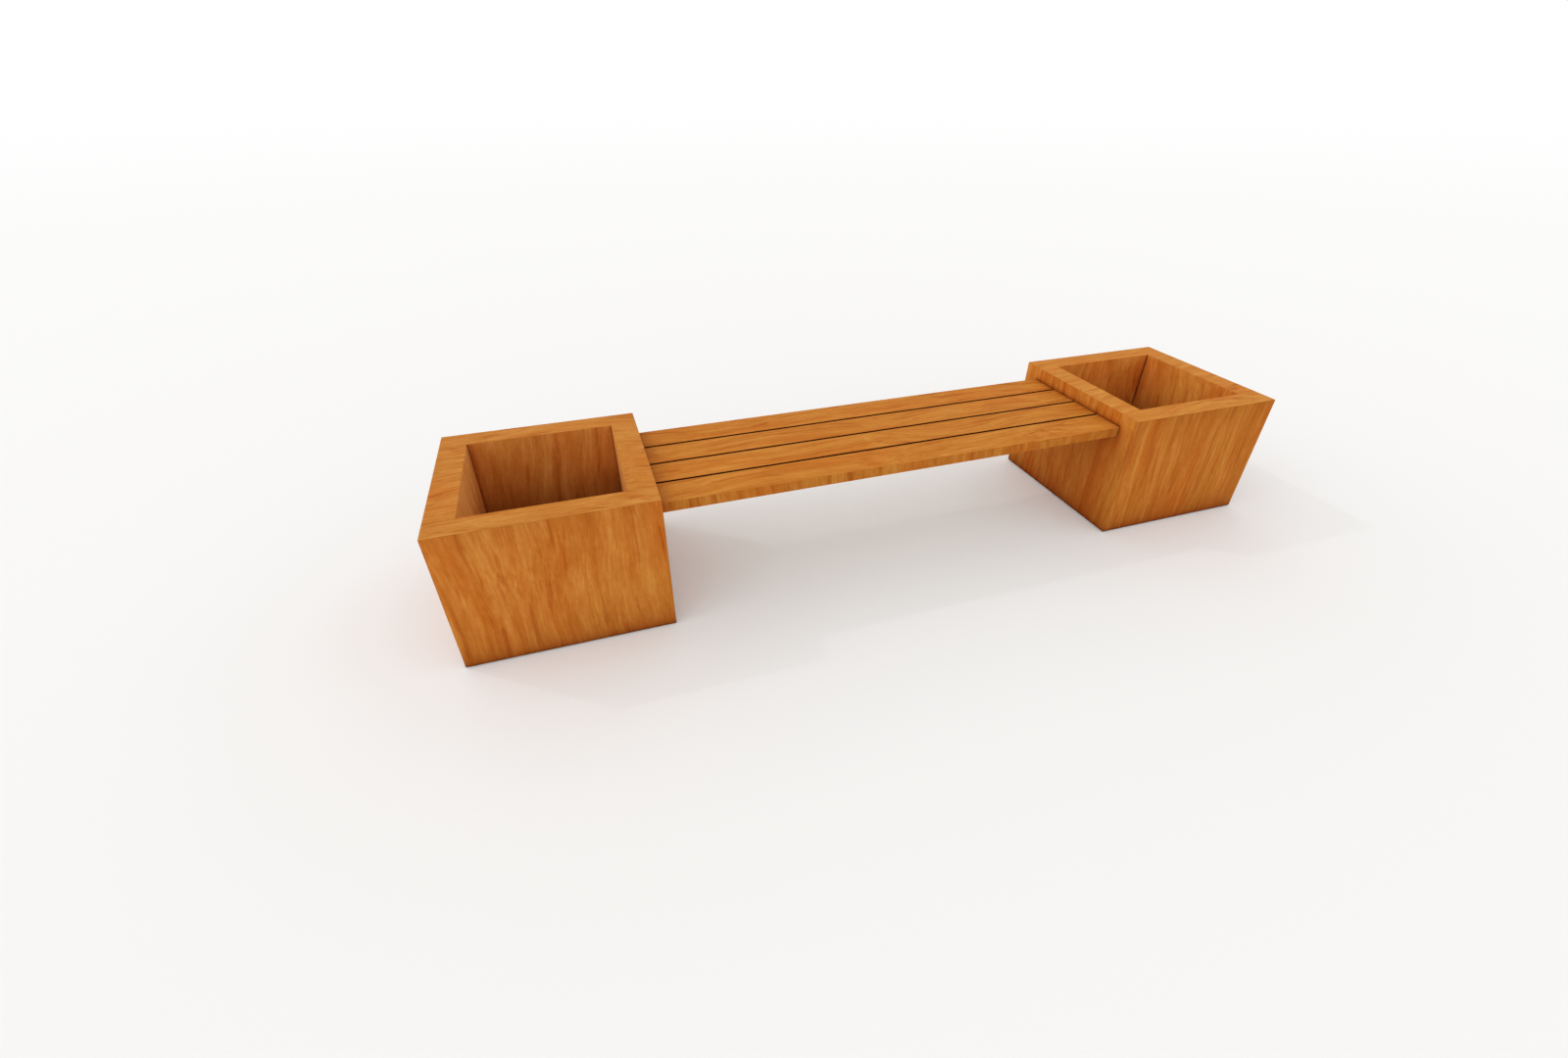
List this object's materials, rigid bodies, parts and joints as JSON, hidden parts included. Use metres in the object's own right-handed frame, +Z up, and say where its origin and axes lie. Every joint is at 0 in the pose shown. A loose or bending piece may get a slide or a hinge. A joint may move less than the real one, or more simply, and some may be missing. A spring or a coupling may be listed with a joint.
{
  "type": "bench",
  "caption": "Slatted wooden bench whose seat boards run between two square open-topped planter boxes with wide flat rims.",
  "frame": {"origin": "on the ground, under the middle of the seat", "axes": "+X along the bench from the left planter to the right one, +Y towards the back, +Z up"},
  "size_m": [2.781, 0.6, 0.443],
  "materials": {
    "veneered_plywood": "satin oiled veneer, warm orange brown, with its figure running up the sides",
    "seat_hardwood": "satin oiled boards, warm orange brown, with the grain along the bench",
    "frame_timber": "planed and unfinished",
    "zinc_plated_steel": "dull zinc plate"
  },
  "bodies": {
    "root": {"left_planter_front_panel": "veneered_plywood", "left_planter_seat_panel": "veneered_plywood", "left_planter_back_panel": "veneered_plywood", "left_planter_end_panel": "veneered_plywood", "left_planter_front_lining": "veneered_plywood", "left_planter_seat_lining": "veneered_plywood", "left_planter_back_lining": "veneered_plywood", "left_planter_end_lining": "veneered_plywood", "left_planter_rim": "veneered_plywood", "left_planter_top_frame": "frame_timber", "left_planter_bottom_frame": "frame_timber", "left_planter_post_1": "frame_timber", "left_planter_post_2": "frame_timber", "left_planter_post_3": "frame_timber", "left_planter_post_4": "frame_timber", "left_planter_seat_rail": "frame_timber", "left_planter_floor_board_1": "frame_timber", "left_planter_floor_board_2": "frame_timber", "left_planter_floor_board_3": "frame_timber", "left_planter_floor_board_4": "frame_timber", "right_planter_front_panel": "veneered_plywood", "right_planter_seat_panel": "veneered_plywood", "right_planter_back_panel": "veneered_plywood", "right_planter_end_panel": "veneered_plywood", "right_planter_front_lining": "veneered_plywood", "right_planter_seat_lining": "veneered_plywood", "right_planter_back_lining": "veneered_plywood", "right_planter_end_lining": "veneered_plywood", "right_planter_rim": "veneered_plywood", "right_planter_top_frame": "frame_timber", "right_planter_bottom_frame": "frame_timber", "right_planter_post_1": "frame_timber", "right_planter_post_2": "frame_timber", "right_planter_post_3": "frame_timber", "right_planter_post_4": "frame_timber", "right_planter_seat_rail": "frame_timber", "right_planter_floor_board_1": "frame_timber", "right_planter_floor_board_2": "frame_timber", "right_planter_floor_board_3": "frame_timber", "right_planter_floor_board_4": "frame_timber", "seat_board_1": "seat_hardwood", "seat_board_2": "seat_hardwood", "seat_board_3": "seat_hardwood", "seat_board_4": "seat_hardwood", "seat_batten_1": "frame_timber", "seat_batten_2": "frame_timber", "seat_batten_3": "frame_timber", "seat_batten_4": "frame_timber", "left_seat_angle": "zinc_plated_steel", "right_seat_angle": "zinc_plated_steel", "left_coach_screw_1": "zinc_plated_steel", "left_coach_screw_2": "zinc_plated_steel", "left_coach_screw_3": "zinc_plated_steel", "right_coach_screw_1": "zinc_plated_steel", "right_coach_screw_2": "zinc_plated_steel", "right_coach_screw_3": "zinc_plated_steel"}
  },
  "joints": []
}
